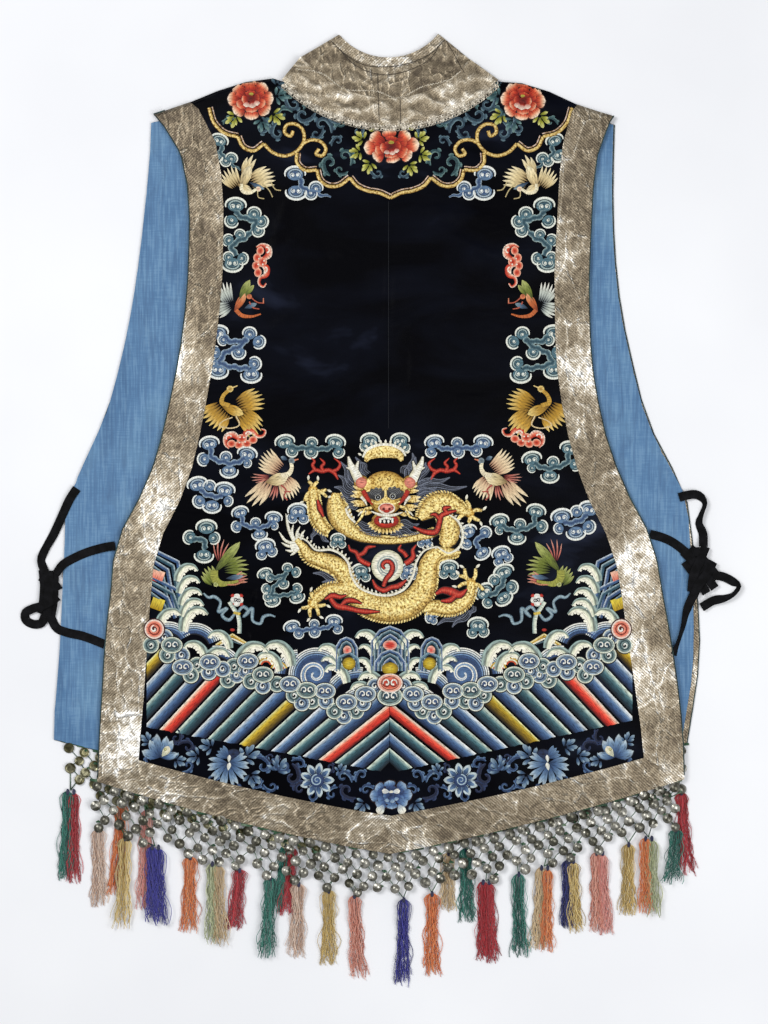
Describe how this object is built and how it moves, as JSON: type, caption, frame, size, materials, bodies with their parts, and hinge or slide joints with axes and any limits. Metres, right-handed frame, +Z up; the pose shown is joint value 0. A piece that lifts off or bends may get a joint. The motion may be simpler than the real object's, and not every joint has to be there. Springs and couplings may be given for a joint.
{
  "type": "ceremonial vest",
  "caption": "Sleeveless ceremonial vest laid flat, back up, with silver bands, stand collar, blue lining, ribbon side ties and a net and tassel fringe.",
  "frame": {"origin": "centre of the laid-out vest's outline, on the surface it lies on", "axes": "+Y from the hem to the collar, +X to the right as seen from above, +Z up from the surface, towards the back panel"},
  "size_m": [0.865, 1.144, 0.0113],
  "materials": {
    "lining_silk": "light blue plain-weave silk",
    "net_cord": "green knotted cord with small domed metal discs",
    "satin": "dark navy silk satin with colour embroidery",
    "silver_brocade": "tarnished silver metal-thread brocade",
    "tape": "black woven tape",
    "tassel_beige": "floss silk",
    "tassel_blue": "floss silk",
    "tassel_green": "floss silk",
    "tassel_navy": "floss silk",
    "tassel_orange": "floss silk",
    "tassel_pink": "floss silk",
    "tassel_red": "floss silk",
    "tassel_sage": "floss silk",
    "tassel_salmon": "floss silk",
    "tassel_shell": "floss silk",
    "tassel_straw": "floss silk"
  },
  "bodies": {
    "root": {"back_body": "satin", "band_back_hem_left": "silver_brocade", "band_back_hem_right": "silver_brocade", "band_back_side_left": "silver_brocade", "band_back_side_right": "silver_brocade", "band_front_left": "silver_brocade", "band_front_right": "silver_brocade", "collar_binding": "silver_brocade", "collar_front_left": "silver_brocade", "collar_front_right": "silver_brocade", "collar_stand": "silver_brocade", "front_body_left": "satin", "front_body_right": "satin", "knot_left": "tape", "knot_right": "tape", "lining_left": "lining_silk", "lining_right": "lining_silk", "neck_lace": "silver_brocade", "neck_yoke": "silver_brocade", "net_back_left": "net_cord", "net_back_right": "net_cord", "net_front_left": "net_cord", "net_front_right": "net_cord", "tassel_00_green": "tassel_green", "tassel_01_orange": "tassel_orange", "tassel_02_pink": "tassel_pink", "tassel_03_green": "tassel_green", "tassel_04_beige": "tassel_beige", "tassel_05_green": "tassel_green", "tassel_06_red": "tassel_red", "tassel_07_shell": "tassel_shell", "tassel_08_straw": "tassel_straw", "tassel_09_blue": "tassel_blue", "tassel_10_orange": "tassel_orange", "tassel_11_sage": "tassel_sage", "tassel_12_red": "tassel_red", "tassel_13_green": "tassel_green", "tassel_14_shell": "tassel_shell", "tassel_15_straw": "tassel_straw", "tassel_16_salmon": "tassel_salmon", "tassel_17_blue": "tassel_blue", "tassel_18_orange": "tassel_orange", "tassel_19_red": "tassel_red", "tassel_20_green": "tassel_green", "tassel_21_beige": "tassel_beige", "tassel_22_navy": "tassel_navy", "tassel_23_salmon": "tassel_salmon", "tassel_24_straw": "tassel_straw", "tassel_25_orange": "tassel_orange", "tassel_26_green": "tassel_green", "tie_left_front": "tape", "tie_left_lower": "tape", "tie_left_upper": "tape", "tie_right_front": "tape", "tie_right_lower": "tape", "tie_right_upper": "tape"}
  },
  "joints": []
}
